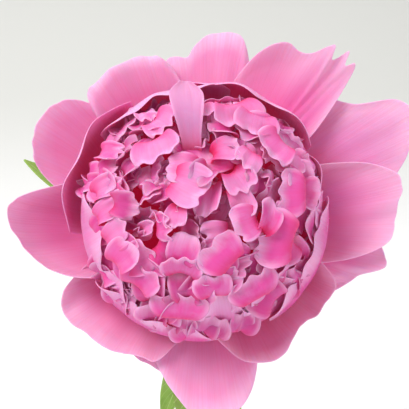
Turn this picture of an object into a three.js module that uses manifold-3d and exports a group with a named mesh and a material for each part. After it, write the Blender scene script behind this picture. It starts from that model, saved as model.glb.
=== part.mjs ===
import * as THREE from 'three';
import { mergeVertices } from 'three/addons/utils/BufferGeometryUtils.js';
import Module from 'manifold-3d';

// A double peony on its cut stem, standing in a small glazed bud vase.
// Millimetres, +Z up. The origin is the centre of the vase's flat foot, and the bloom leans towards -Y.

// Vase: a closed foot, a round belly, a narrow neck and a flared lip.
const VASE_HEIGHT = 140;
const FOOT_RADIUS = 30;
const BELLY_RADIUS = 37;
const BELLY_HEIGHT = 46;
const NECK_RADIUS = 15;
const NECK_HEIGHT = 106;
const LIP_RADIUS = 27;
const LIP_ROUND = 1.4;
const VASE_WALL = 4;
const VASE_FLOOR = 8;
const VASE_SIDES = 36;
const WALL_STEPS = 4;

// Gap between pieces that touch: the stem in the vase, and each petal or leaf on what carries it.
const SEAT_GAP = 0.35;

// Stem: it stands on the vase's floor, leans on the front of the neck and bends under the bloom.
const STEM_RADIUS = 3.2;
const STEM_FOOT_BACK = 13;
const STEM_SIDES = 10;
const STEM_STEPS = 24;

// Bloom: where the middle of its receptacle is above the lip, and how far its axis leans from upright.
const BLOOM_ABOVE_LIP = 99;
const BLOOM_FORWARD = 40;
const BLOOM_TILT = 50;

// Receptacle: the swollen end of the stem, from which every petal and sepal grows.
const RECEPTACLE_RADIUS = 9;
const RECEPTACLE_DEPTH = 12;
const RECEPTACLE_TAPER = 9;
const RECEPTACLE_SIDES = 20;

// Ball of inner petals: an ellipsoid whose middle is BALL_RISE above the middle of the receptacle.
const BALL_RADIUS = 48;
const BALL_HALF_HEIGHT = 40;
const BALL_RISE = 20;
const BALL_SPREAD = 78;
const INNER_COUNT = 30;
const INNER_THICKNESS = 1;
// Each inner petal is a scoop: how much of its cone it fills, half of the angle of its section,
// where along it the curl begins, how high that is and the top, how far it curls, how round its end is.
const SCOOP_FILL = 0.9;
const SCOOP_HALF_ANGLE = 60;
const SCOOP_STRAIGHT = 0.55;
const SCOOP_SHOULDER = 0.8;
const SCOOP_TOP = 0.98;
const SCOOP_CURL = 128;
const SCOOP_TIP_ROUND = 0.12;

// Collar: two rings of petals that wrap the ball, each ring a step outside the one before.
const COLLAR_CLEARANCE = 3;
const COLLAR_UNDER = 4.5;
const COLLAR_STEP = 2.5;
const COLLAR_CORNER = 16;
const COLLAR_PER_RING = 4;
const COLLAR_HALF_ANGLE = 33;
const COLLAR_WRAP = [30, 24, 26, 20, 27, 17, 24, 22];
const COLLAR_TURN = 20;

// Guard petals: azimuth around the bloom, half of the angle that they span, how far they reach beyond
// the ball, and ring.
// Ring 0 lies against the collar and ring 2 against the sepals.
const GUARDS = [
  { azimuth: 187, halfAngle: 27, beyond: 31, ring: 0 },
  { azimuth: 152, halfAngle: 27, beyond: 27, ring: 1 },
  { azimuth: 120, halfAngle: 25, beyond: 23, ring: 0 },
  { azimuth: 85, halfAngle: 26, beyond: 26, ring: 1 },
  { azimuth: 58, halfAngle: 24, beyond: 32, ring: 0 },
  { azimuth: 25, halfAngle: 27, beyond: 41, ring: 1 },
  { azimuth: 3, halfAngle: 24, beyond: 32, ring: 0 },
  { azimuth: 344, halfAngle: 25, beyond: 30, ring: 2 },
  { azimuth: 313, halfAngle: 23, beyond: 18, ring: 0 },
  { azimuth: 273, halfAngle: 23, beyond: 33, ring: 1 },
  { azimuth: 222, halfAngle: 26, beyond: 21, ring: 1 },
  { azimuth: 250, halfAngle: 30, beyond: 18, ring: 2 },
];
const GUARD_STEP = 2.6;
const GUARD_RISE = 24;
const GUARD_RISE_OVER = 50;
const GUARD_WAVE = 4;

// Sepals: five green lobes under the guard petals.
const SEPAL_COUNT = 5;
const SEPAL_HALF_ANGLE = 26;
const SEPAL_REACH = 34;
const SEPAL_TURN = 12;

// Thickness of the collar petals, guard petals and sepals, and the step between rings on the receptacle.
const PETAL_THICKNESS = 0.8;
const ROOT_STEP = 1.7;
const FIRST_ROOT_BELOW = 2;

// Leaves: where each leaves the stem, as a share of its length, the way it points, its sizes,
// and how far the end of each of its leaflets droops.
const LEAF_THICKNESS = 0.9;
const STALK_RADIUS = 1.2;
const LEAFLET_WIDTH = 25;
// Leaflets of each leaf: where each leaves the stalk, its turn away from it and its share of full size.
const LEAFLETS = [
  { fork: 0.7, turn: -58, share: 0.72 },
  { fork: 0.97, turn: 0, share: 1 },
  { fork: 0.8, turn: 58, share: 0.76 },
];
const LEAVES = [
  { name: 'leaf_upper', joint: 0.76, heading: 180, stalk: 30, stalkRise: 28, leaflet: 46, droops: [-12, -22, 12] },
  { name: 'leaf_lower', joint: 0.63, heading: 260, stalk: 22, stalkRise: 8, leaflet: 44, droops: [16, 28, 14] },
];

const COLOURS = {
  glaze: '#f1f1ec',
  stem: '#8fa84e',
  leaf: '#86a851',
  sepal: '#93ad5c',
  innerPale: '#f3b3d3',
  innerDeep: '#cf4788',
  collar: '#ec93c0',
  guardPale: '#f7a9d0',
  guardDeep: '#dd6fae',
};

const AXIS = new THREE.Vector3(0, 0, 1);
const rad = THREE.MathUtils.degToRad;
const { lerp } = THREE.MathUtils;

const wasm = await Module();
wasm.setup();

const peony = new THREE.Group();
const bloom = new THREE.Group();
bloom.position.set(0, -BLOOM_FORWARD, VASE_HEIGHT + BLOOM_ABOVE_LIP);
bloom.rotation.x = rad(BLOOM_TILT);
bloom.updateMatrixWorld();
peony.add(bloom);

function addMesh(parent, name, geometry, color, roughness) {
  const material = new THREE.MeshStandardMaterial({ color, roughness, metalness: 0 });
  const mesh = new THREE.Mesh(geometry, material);
  mesh.name = name;
  parent.add(mesh);
}

// Keeps the positions alone and merges the points that coincide.
function weld(geometry) {
  geometry.deleteAttribute('normal');
  geometry.deleteAttribute('uv');
  return mergeVertices(geometry);
}

// Joins closed geometries into one solid.
function join(geometries) {
  const solids = geometries.map((geometry) => {
    const welded = weld(geometry);
    const vertProperties = new Float32Array(welded.attributes.position.array);
    const triVerts = new Uint32Array(welded.index.array);
    return new wasm.Manifold(new wasm.Mesh({ numProp: 3, vertProperties, triVerts }));
  });
  const mesh = solids.reduce((whole, solid) => whole.add(solid)).getMesh();
  const joined = new THREE.BufferGeometry();
  joined.setAttribute('position', new THREE.BufferAttribute(mesh.vertProperties, 3));
  joined.setIndex(new THREE.BufferAttribute(mesh.triVerts, 1));
  return joined;
}

// A thin closed blade: a flat box, fine enough to bend, whose points move onto a curved surface.
// surface(along, across) gives a point for along from 0 to 1 and across from -1 to 1.
function bladeGeometry(surface, thickness, acrossSteps, alongSteps) {
  const NUDGE = 0.001;
  const blade = weld(new THREE.BoxGeometry(2, 1, 1, acrossSteps, 1, alongSteps));
  const position = blade.attributes.position;
  for (let i = 0; i < position.count; i += 1) {
    const across = position.getX(i);
    const side = position.getY(i);
    const along = position.getZ(i) + 0.5;
    const point = surface(along, across);
    const lengthways = surface(along + NUDGE, across).sub(surface(along - NUDGE, across));
    const sideways = surface(along, across + NUDGE).sub(surface(along, across - NUDGE));
    const normal = lengthways.cross(sideways).normalize();
    point.addScaledVector(normal, side * thickness);
    position.setXYZ(i, point.x, point.y, point.z);
  }
  return blade;
}

// A round rod along a curve.
function rodGeometry(curve, radius, sides, steps) {
  const section = new THREE.Shape(new THREE.Path().absarc(0, 0, radius, 0, 2 * Math.PI).getPoints(sides));
  return new THREE.ExtrudeGeometry(section, { steps, bevelEnabled: false, extrudePath: curve });
}

// ---- vase

// The line of the wall from foot to lip, moved inwards by inset.
function wallLine(inset, bottom) {
  const belly = BELLY_RADIUS - inset;
  const neck = NECK_RADIUS - inset;
  const lip = LIP_RADIUS - inset;
  const foot = FOOT_RADIUS - inset;
  const shoulder = NECK_HEIGHT - BELLY_HEIGHT;
  const flare = VASE_HEIGHT - LIP_ROUND - NECK_HEIGHT;
  const top = VASE_HEIGHT - LIP_ROUND;
  const sides = new THREE.CubicBezierCurve(
    new THREE.Vector2(foot, bottom),
    new THREE.Vector2(lerp(foot, belly, 0.6), lerp(bottom, BELLY_HEIGHT, 0.2)),
    new THREE.Vector2(belly, lerp(bottom, BELLY_HEIGHT, 0.6)),
    new THREE.Vector2(belly, BELLY_HEIGHT),
  );
  const shoulders = new THREE.CubicBezierCurve(
    new THREE.Vector2(belly, BELLY_HEIGHT),
    new THREE.Vector2(belly, BELLY_HEIGHT + 0.5 * shoulder),
    new THREE.Vector2(neck, NECK_HEIGHT - 0.45 * shoulder),
    new THREE.Vector2(neck, NECK_HEIGHT),
  );
  const flared = new THREE.CubicBezierCurve(
    new THREE.Vector2(neck, NECK_HEIGHT),
    new THREE.Vector2(neck, NECK_HEIGHT + 0.5 * flare),
    new THREE.Vector2(lerp(neck, lip, 0.6), top - 0.25 * flare),
    new THREE.Vector2(lip, top),
  );
  const points = [sides, shoulders, flared].flatMap((curve) => curve.getPoints(WALL_STEPS).slice(1));
  return [new THREE.Vector2(foot, bottom), ...points];
}

function vaseGeometry() {
  const outside = wallLine(0, 0);
  const inside = wallLine(VASE_WALL, VASE_FLOOR).reverse();
  const crest = [0.25, 0.5, 0.75].map((share) => {
    const rise = LIP_ROUND * Math.sin(share * Math.PI);
    return new THREE.Vector2(LIP_RADIUS - share * VASE_WALL, VASE_HEIGHT - LIP_ROUND + rise);
  });
  const onAxis = [new THREE.Vector2(0, 0), new THREE.Vector2(0, VASE_FLOOR)];
  const lathe = new THREE.LatheGeometry([onAxis[0], ...outside, ...crest, ...inside, onAxis[1]], VASE_SIDES);
  return lathe.rotateX(Math.PI / 2);
}

addMesh(peony, 'vase', vaseGeometry(), COLOURS.glaze, 0.2);

// ---- stem and receptacle

// A point of the bloom's own frame, in the vase's frame.
function fromBloom(x, y, z) {
  return new THREE.Vector3(x, y, z).applyMatrix4(bloom.matrixWorld);
}

function stemCurve() {
  const neckSlack = NECK_RADIUS - VASE_WALL - STEM_RADIUS - SEAT_GAP;
  const lean = Math.atan2(STEM_FOOT_BACK + neckSlack, NECK_HEIGHT - VASE_FLOOR);
  const standing = VASE_FLOOR + SEAT_GAP + STEM_RADIUS * Math.sin(lean);
  const underBloom = fromBloom(0, 0, -RECEPTACLE_DEPTH - 0.5 * RECEPTACLE_TAPER);
  const bend = fromBloom(0, 0, -RECEPTACLE_DEPTH - 3 * RECEPTACLE_TAPER);
  bend.z -= 0.5 * RECEPTACLE_TAPER;
  return new THREE.CatmullRomCurve3([
    new THREE.Vector3(0, STEM_FOOT_BACK, standing),
    new THREE.Vector3(0, lerp(STEM_FOOT_BACK, -neckSlack, 0.5), lerp(standing, NECK_HEIGHT, 0.5)),
    new THREE.Vector3(0, -neckSlack, NECK_HEIGHT),
    new THREE.Vector3(0, lerp(-neckSlack, bend.y, 0.7), lerp(NECK_HEIGHT, bend.z, 0.55)),
    bend,
    underBloom,
  ]);
}

// The receptacle's outline turned around the bloom's axis: a dome, a drum and a taper into the stem.
function receptacleGeometry() {
  const DOME_STEPS = 5;
  const dome = [];
  for (let i = 0; i <= DOME_STEPS; i += 1) {
    const angle = (i / DOME_STEPS) * 0.5 * Math.PI;
    dome.push(new THREE.Vector2(RECEPTACLE_RADIUS * Math.cos(angle), RECEPTACLE_RADIUS * Math.sin(angle)));
  }
  const outline = [
    new THREE.Vector2(0, -RECEPTACLE_DEPTH - RECEPTACLE_TAPER),
    new THREE.Vector2(STEM_RADIUS + 0.4, -RECEPTACLE_DEPTH - RECEPTACLE_TAPER),
    new THREE.Vector2(0.65 * RECEPTACLE_RADIUS, -RECEPTACLE_DEPTH - 0.4 * RECEPTACLE_TAPER),
    new THREE.Vector2(RECEPTACLE_RADIUS, -RECEPTACLE_DEPTH),
    ...dome.slice(0, -1),
    new THREE.Vector2(0, RECEPTACLE_RADIUS),
  ];
  const turned = new THREE.LatheGeometry(outline, RECEPTACLE_SIDES).rotateX(Math.PI / 2);
  return turned.applyMatrix4(bloom.matrixWorld);
}

const stem = stemCurve();
const stemRod = rodGeometry(stem, STEM_RADIUS, STEM_SIDES, STEM_STEPS);
addMesh(peony, 'stem', join([stemRod, receptacleGeometry()]), COLOURS.stem, 0.6);

// ---- inner petals

// Directions spread evenly over the ball's cap, in the order that petals grow.
function spiralDirections() {
  const GOLDEN_ANGLE = Math.PI * (3 - Math.sqrt(5));
  const capDepth = 1 - Math.cos(rad(BALL_SPREAD));
  return Array.from({ length: INNER_COUNT }, (_, i) => {
    const z = 1 - capDepth * ((i + 0.5) / INNER_COUNT);
    const flat = Math.sqrt(1 - z * z);
    return new THREE.Vector3(flat * Math.cos(i * GOLDEN_ANGLE), flat * Math.sin(i * GOLDEN_ANGLE), z);
  });
}

// Half of the angle to the nearest other direction: petals that keep inside it can't meet.
function ownCone(direction, directions) {
  const others = directions.filter((other) => other !== direction);
  return 0.5 * Math.min(...others.map((other) => other.angleTo(direction)));
}

// How far the ball's surface is from the middle of the receptacle.
function ballDistance(direction) {
  const flat = Math.hypot(direction.x, direction.y);
  const a = (flat / BALL_RADIUS) ** 2 + (direction.z / BALL_HALF_HEIGHT) ** 2;
  const b = (-2 * direction.z * BALL_RISE) / BALL_HALF_HEIGHT ** 2;
  const c = (BALL_RISE / BALL_HALF_HEIGHT) ** 2 - 1;
  return (-b + Math.sqrt(b * b - 4 * a * c)) / (2 * a);
}

// A scoop inside its own cone: its section follows the cone's outer side, then its end closes over
// the top of the ball. turn is the angle through which it has curled so far.
function innerPetalGeometry(direction, cone) {
  const length = ballDistance(direction);
  const start = RECEPTACLE_RADIUS + SEAT_GAP;
  const sideways = new THREE.Vector3().crossVectors(AXIS, direction).normalize();
  const inwards = new THREE.Vector3().crossVectors(direction, sideways);
  const surface = (along, across) => {
    const reached = along * (1 - SCOOP_TIP_ROUND * across * across * along);
    const straight = Math.min(reached / SCOOP_STRAIGHT, 1);
    const curled = Math.max(reached - SCOOP_STRAIGHT, 0) / (1 - SCOOP_STRAIGHT);
    const turn = rad(SCOOP_CURL) * curled;
    const climb = (SCOOP_TOP - SCOOP_SHOULDER) * length * Math.sin(turn);
    const distance = lerp(start, SCOOP_SHOULDER * length, straight) + climb;
    const room = SCOOP_FILL * distance * Math.tan(cone);
    const bend = rad(SCOOP_HALF_ANGLE) * across;
    const point = direction.clone().multiplyScalar(distance);
    point.addScaledVector(sideways, room * Math.sin(bend));
    return point.addScaledVector(inwards, -room * Math.cos(bend) * Math.cos(turn));
  };
  return bladeGeometry(surface, INNER_THICKNESS, 4, 6);
}

// A colour between pale and deep that differs from petal to petal.
function petalColour(pale, deep, index) {
  const share = (index * 0.618) % 1;
  return new THREE.Color(pale).lerp(new THREE.Color(deep), share);
}

function numbered(name, index) {
  return `${name}_${String(index + 1).padStart(2, '0')}`;
}

const directions = spiralDirections();
directions.forEach((direction, i) => {
  const geometry = innerPetalGeometry(direction, ownCone(direction, directions));
  const colour = petalColour(COLOURS.innerPale, COLOURS.innerDeep, i);
  addMesh(bloom, numbered('inner_petal', i), geometry, colour, 0.6);
});

// ---- collar petals, guard petals and sepals

// Rings are counted outwards from the ball: two collar rings, three guard rings, then the sepals.
function rootHeight(ring) {
  return -FIRST_ROOT_BELOW - ROOT_STEP * ring;
}

// A petal that lies on a surface turned around the bloom's axis.
// line(along, azimuth) gives the surface's radius and height, and fan(along) the share of the half angle.
function ringPetalGeometry({ azimuth, halfAngle, line, fan, tipRound, steps }) {
  const surface = (along, across) => {
    const angle = rad(azimuth + halfAngle * fan(along) * across);
    const reached = along * (1 - tipRound * across * across * along * along);
    const place = line(reached, angle);
    return new THREE.Vector3(place.x * Math.cos(angle), place.x * Math.sin(angle), place.y);
  };
  return bladeGeometry(surface, PETAL_THICKNESS, steps[0], steps[1]);
}

// How far a collar ring stands out from the ball, and how low it lies under it.
const collarOutwards = (ring) => COLLAR_CLEARANCE + COLLAR_STEP * ring;
const collarUnderside = (ring) => -COLLAR_UNDER - COLLAR_STEP * ring;

// Out along the underside of the ball, round its corner and up its side, then in over it by wrap degrees.
function collarLine(ring, wrap) {
  const outwards = collarOutwards(ring);
  const radius = BALL_RADIUS + outwards;
  const underside = collarUnderside(ring);
  const path = new THREE.Path();
  path.moveTo(RECEPTACLE_RADIUS + SEAT_GAP, rootHeight(ring));
  path.lineTo(radius - COLLAR_CORNER, underside);
  path.absarc(radius - COLLAR_CORNER, underside + COLLAR_CORNER, COLLAR_CORNER, -0.5 * Math.PI, 0);
  path.absellipse(0, BALL_RISE, radius, BALL_HALF_HEIGHT + outwards, 0, rad(wrap));
  return (along) => path.getPointAt(Math.min(Math.max(along, 0), 1));
}

const collarFan = (along) => 0.55 + 0.45 * Math.sin(0.5 * Math.PI * Math.min(1, 1.4 * along));

for (let i = 0; i < 2 * COLLAR_PER_RING; i += 1) {
  const ring = i % 2;
  const geometry = ringPetalGeometry({
    azimuth: COLLAR_TURN + (i * 180) / COLLAR_PER_RING,
    halfAngle: COLLAR_HALF_ANGLE,
    line: collarLine(ring, COLLAR_WRAP[i]),
    fan: collarFan,
    tipRound: 0.14,
    steps: [5, 8],
  });
  addMesh(bloom, numbered('collar_petal', i), geometry, COLOURS.collar, 0.6);
}

// The guard petals' surfaces: flat under the collar, then rising outwards, with one slow wave for all.
const guardFlatRadius = BALL_RADIUS + collarOutwards(1) - COLLAR_CORNER;

function guardLine(ring, reach) {
  const start = RECEPTACLE_RADIUS + SEAT_GAP;
  const flatHeight = collarUnderside(2) - GUARD_STEP * ring;
  return (along, angle) => {
    const radius = lerp(start, reach, along);
    const inner = Math.min(1, (radius - start) / (guardFlatRadius - start));
    const outer = Math.max(0, (radius - guardFlatRadius) / GUARD_RISE_OVER);
    const wave = GUARD_WAVE * outer ** 2 * Math.sin(3 * angle + 0.5);
    const height = lerp(rootHeight(2 + ring), flatHeight, inner) + GUARD_RISE * outer ** 1.6 + wave;
    return new THREE.Vector2(radius, height);
  };
}

const guardFan = (along) => 0.72 + 0.28 * Math.sin(Math.PI * Math.min(1, 0.85 * along));

GUARDS.forEach(({ azimuth, halfAngle, beyond, ring }, i) => {
  const line = guardLine(ring, BALL_RADIUS + beyond);
  const geometry = ringPetalGeometry({ azimuth, halfAngle, line, fan: guardFan, tipRound: 0.2, steps: [5, 6] });
  const colour = petalColour(COLOURS.guardPale, COLOURS.guardDeep, i);
  addMesh(bloom, numbered('guard_petal', i), geometry, colour, 0.6);
});

function sepalLine() {
  const start = RECEPTACLE_RADIUS + SEAT_GAP;
  const under = guardLine(3, guardFlatRadius)(1, 0).y;
  return (along) => new THREE.Vector2(lerp(start, SEPAL_REACH, along), lerp(rootHeight(5), under, along));
}

const sepalFan = (along) => Math.max(0.12, 1 - along * along);

for (let i = 0; i < SEPAL_COUNT; i += 1) {
  const geometry = ringPetalGeometry({
    azimuth: SEPAL_TURN + (i * 360) / SEPAL_COUNT,
    halfAngle: SEPAL_HALF_ANGLE,
    line: sepalLine(),
    fan: sepalFan,
    tipRound: 0.1,
    steps: [4, 4],
  });
  addMesh(bloom, numbered('sepal', i), geometry, COLOURS.sepal, 0.6);
}

// ---- leaves

// A leaflet: a pointed blade along a rib, folded up a little on both sides of it.
function leafletGeometry(rib, width) {
  const surface = (along, across) => {
    const at = Math.min(Math.max(along, 0), 1);
    const sideways = rib.getTangent(at).cross(AXIS).normalize();
    const half = 0.5 * width * Math.max(0.06, Math.sin(Math.PI * at ** 0.8) ** 0.8);
    const point = rib.getPoint(along).addScaledVector(sideways, half * across);
    point.z += 0.25 * half * Math.abs(across);
    return point;
  };
  return bladeGeometry(surface, LEAF_THICKNESS, 4, 7);
}

// A curve that leaves start along a compass heading, gains rise and then falls by droop at its end.
function archedRib(start, heading, length, rise, droop) {
  const outwards = new THREE.Vector3(Math.cos(rad(heading)), Math.sin(rad(heading)), 0);
  const middle = start.clone().addScaledVector(outwards, 0.5 * length);
  middle.z += rise;
  const end = start.clone().addScaledVector(outwards, length);
  end.z += rise - droop;
  return new THREE.QuadraticBezierCurve3(start, middle, end);
}

// A compound leaf: a stalk that starts beside the stem, and three leaflets at its end.
function leafGeometry({ joint, heading, stalk, stalkRise, leaflet, droops }) {
  const outwards = new THREE.Vector3(Math.cos(rad(heading)), Math.sin(rad(heading)), 0);
  const root = stem.getPointAt(joint).addScaledVector(outwards, STEM_RADIUS + SEAT_GAP + STALK_RADIUS);
  const stalkCurve = archedRib(root, heading, stalk, stalkRise, 0);
  const parts = [rodGeometry(stalkCurve, STALK_RADIUS, 8, 8)];
  LEAFLETS.forEach(({ fork, turn, share }, i) => {
    const length = share * leaflet;
    const rise = droops[i] > 0 ? 0.1 * length : 0;
    const rib = archedRib(stalkCurve.getPoint(fork), heading + turn, length, rise, droops[i]);
    parts.push(leafletGeometry(rib, share * LEAFLET_WIDTH));
  });
  return join(parts);
}

LEAVES.forEach((leaf) => {
  addMesh(peony, leaf.name, leafGeometry(leaf), COLOURS.leaf, 0.5);
});

export default peony;
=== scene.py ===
import math
import random

import bmesh
import bpy
from mathutils import Matrix, Vector, noise


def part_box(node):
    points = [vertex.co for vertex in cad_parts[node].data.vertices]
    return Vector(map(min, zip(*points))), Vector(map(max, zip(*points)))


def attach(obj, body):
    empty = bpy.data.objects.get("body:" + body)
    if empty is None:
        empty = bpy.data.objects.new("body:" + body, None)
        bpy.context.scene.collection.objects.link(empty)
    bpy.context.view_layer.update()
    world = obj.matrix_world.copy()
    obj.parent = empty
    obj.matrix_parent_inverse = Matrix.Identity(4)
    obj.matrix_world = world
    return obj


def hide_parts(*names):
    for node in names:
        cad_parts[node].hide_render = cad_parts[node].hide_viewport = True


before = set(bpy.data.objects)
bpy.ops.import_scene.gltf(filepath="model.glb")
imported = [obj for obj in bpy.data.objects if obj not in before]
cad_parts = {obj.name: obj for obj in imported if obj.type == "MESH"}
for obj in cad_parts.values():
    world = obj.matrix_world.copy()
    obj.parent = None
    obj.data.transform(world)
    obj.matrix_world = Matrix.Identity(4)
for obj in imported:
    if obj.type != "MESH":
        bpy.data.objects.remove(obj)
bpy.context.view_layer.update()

bl_info = {
    "name": "Peony in a bud vase",
    "version": (1, 0, 0),
    "blender": (4, 5, 0),
    "location": "View3D > Sidebar > Peony",
    "description": "Builds the looks of a cut double peony in a white bud vase around its solid model",
    "category": "Add Mesh",
}

MM = 0.001
BODY = "root"
UV_NAME = "petal"
SMOOTHING_LEVELS = 1


# ---- settings that a user would change


def length(name, text, default):
    return bpy.props.FloatProperty(
        name=name, description=text, default=default, min=0.0, unit="LENGTH", precision=4
    )


def angle(name, text, degrees):
    return bpy.props.FloatProperty(
        name=name, description=text, default=math.radians(degrees), subtype="ANGLE"
    )


def colour(name, text, default):
    return bpy.props.FloatVectorProperty(
        name=name, description=text, default=default, size=3, min=0.0, max=1.0, subtype="COLOR"
    )


class PeonySizes(bpy.types.PropertyGroup):
    bloom_above_lip: length("Bloom above lip", "Middle of the receptacle above the vase's lip", 0.099)
    bloom_forward: length("Bloom forward", "Middle of the receptacle in front of the vase's axis", 0.040)
    bloom_tilt: angle("Bloom tilt", "Lean of the bloom's axis from upright", 50)
    stem_radius: length("Stem radius", "Radius of the stem", 0.0032)
    ball_radius: length("Ball radius", "Radius of the ball of inner petals", 0.048)
    ball_half_height: length("Ball half height", "Half of the ball's height", 0.040)
    ball_rise: length("Ball rise", "Middle of the ball above the middle of the receptacle", 0.020)
    petal_thickness: length("Petal thickness", "Thickness of a petal", 0.00045)
    petaloids: bpy.props.IntProperty(
        name="Inner petals", description="How many petals the ball has", default=360, min=30, max=400
    )
    seed: bpy.props.IntProperty(name="Seed", description="Changes how the petals vary", default=7)


class PeonyColours(bpy.types.PropertyGroup):
    # Painted shade: the deep crimson of the shaded cavities between petals, painted at each petal's root; it
    # also tints the veins.
    cavity_shade_and_vein: colour("Cavity", "Deep colour at the petals' roots", (0.80, 0.022, 0.125))
    inner: colour("Inner petal", "Colour of the ball's petals", (0.79, 0.088, 0.385))
    inner_edge: colour("Inner petal edge", "Colour of their ends and edges", (0.92, 0.420, 0.710))
    guard: colour("Guard petal", "Colour of the wide outer petals", (0.82, 0.185, 0.500))
    guard_edge: colour("Guard petal edge", "Colour of their edges", (0.90, 0.520, 0.750))
    mauve: colour("Mauve", "Cooler pink that drifts through the petals", (0.71, 0.285, 0.570))
    leaf: colour("Leaf", "Colour of the leaves", (0.330, 0.540, 0.100))
    leaf_vein: colour("Leaf vein", "Colour of the leaves' veins", (0.520, 0.680, 0.230))
    stem: colour("Stem", "Colour of the stem", (0.300, 0.440, 0.100))
    glaze: colour("Glaze", "Colour of the vase's glaze", (0.880, 0.880, 0.860))
    bisque: colour("Bisque", "Colour of the vase's bare foot", (0.700, 0.640, 0.560))


class PeonyStage(bpy.types.PropertyGroup):
    elevation: angle("Camera elevation", "Height of the camera above level, as an angle", 33)
    distance: length("Camera distance", "Camera to the middle of the ball", 0.62)
    width: length("View width", "Width of the view at the ball", 0.168)
    # Painted light: the floor is painted near white around the vase, where the lamps fall, and grey far
    # behind it, where less light reaches.
    floor: colour("Floor", "Colour of the floor and backdrop far behind the vase", (0.68, 0.68, 0.65))
    floor_near_lit: colour("Floor near", "Colour of the floor around the vase", (0.97, 0.97, 0.97))


# ---- mesh helpers


def smooth(low, high, value):
    """Goes from 0 at low to 1 at high, without a corner."""
    share = min(max((value - low) / (high - low), 0.0), 1.0)
    return share * share * (3.0 - 2.0 * share)


def lerp(a, b, share):
    return a + (b - a) * share


def new_bmesh():
    bm = bmesh.new()
    bm.loops.layers.uv.new(UV_NAME)
    bm.verts.layers.float.new("tone")
    bm.verts.layers.float.new("cool")
    return bm


def add_sheet(bm, surface, across, along, tone=0.5, cool=0.0):
    """Adds a grid and moves each of its points onto surface(u, v): u from 0 to 1, v from -1 to 1."""
    made = bmesh.ops.create_grid(bm, x_segments=across, y_segments=along, size=0.5, calc_uvs=True)
    tones = bm.verts.layers.float["tone"]
    cools = bm.verts.layers.float["cool"]
    for vert in made["verts"]:
        u = vert.co.y + 0.5
        v = 2.0 * vert.co.x
        vert.co = surface(u, v)
        vert[tones] = tone
        vert[cools] = cool
    return made["verts"]


def add_tube(bm, path, radius, sides, steps, tone=0.5):
    """Adds a closed tube: a grid wrapped round path(u), with its seam welded and its ends filled."""
    def surface(u, v):
        nudge = 0.001
        middle = path(u)
        forward = (path(min(u + nudge, 1.0)) - path(max(u - nudge, 0.0))).normalized()
        side = forward.cross(Vector((0.0, 0.0, 1.0)) if abs(forward.z) < 0.9 else Vector((1.0, 0.0, 0.0)))
        side.normalize()
        lift = side.cross(forward)
        turn = math.pi * v
        return middle + radius(u) * (math.cos(turn) * side + math.sin(turn) * lift)

    verts = add_sheet(bm, surface, sides, steps, tone)
    bmesh.ops.remove_doubles(bm, verts=verts, dist=1e-7)
    kept = {edge for vert in verts if vert.is_valid for edge in vert.link_edges if edge.is_boundary}
    bmesh.ops.holes_fill(bm, edges=list(kept), sides=0)
    bmesh.ops.recalc_face_normals(bm, faces=list({f for v in verts if v.is_valid for f in v.link_faces}))


def finish_piece(bm, name, material, nodes, thickness=0.0):
    """Turns a bmesh into a piece that rides on the body and stands for its solid nodes."""
    mesh = bpy.data.meshes.new(name)
    bm.to_mesh(mesh)
    bm.free()
    mesh.materials.append(material)
    mesh.shade_smooth()
    piece = bpy.data.objects.new(name, mesh)
    bpy.context.scene.collection.objects.link(piece)
    if thickness > 0.0:
        wall = piece.modifiers.new("Thickness", "SOLIDIFY")
        wall.thickness = thickness
        wall.offset = 0.0
        wall.use_even_offset = False
    finer = piece.modifiers.new("Finer", "SUBSURF")
    finer.levels = SMOOTHING_LEVELS
    finer.render_levels = SMOOTHING_LEVELS
    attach(piece, BODY)
    if nodes:
        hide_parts(*nodes)
    return piece


def bloom_matrix():
    """From the bloom's own frame, in millimetres, to the model's frame: x right, y up, z out of it."""
    sizes = bpy.context.scene.peony_sizes
    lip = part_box("vase")[1].z
    middle = Vector((0.0, -sizes.bloom_forward, lip + sizes.bloom_above_lip))
    turn = Matrix.Rotation(sizes.bloom_tilt, 4, "X")
    return Matrix.Translation(middle) @ turn @ Matrix.Scale(MM, 4)


def add_bloom_piece(name, surface, grid, material, thickness, tone=0.5, cool=0.0):
    """One petal or sepal: a sheet in the bloom's frame that stands for the solid node of that name."""
    bm = new_bmesh()
    add_sheet(bm, surface, *grid, tone, cool)
    bm.transform(bloom_matrix())
    finish_piece(bm, f"{name}_skin", material, [name], thickness)


# ---- node helpers


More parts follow.
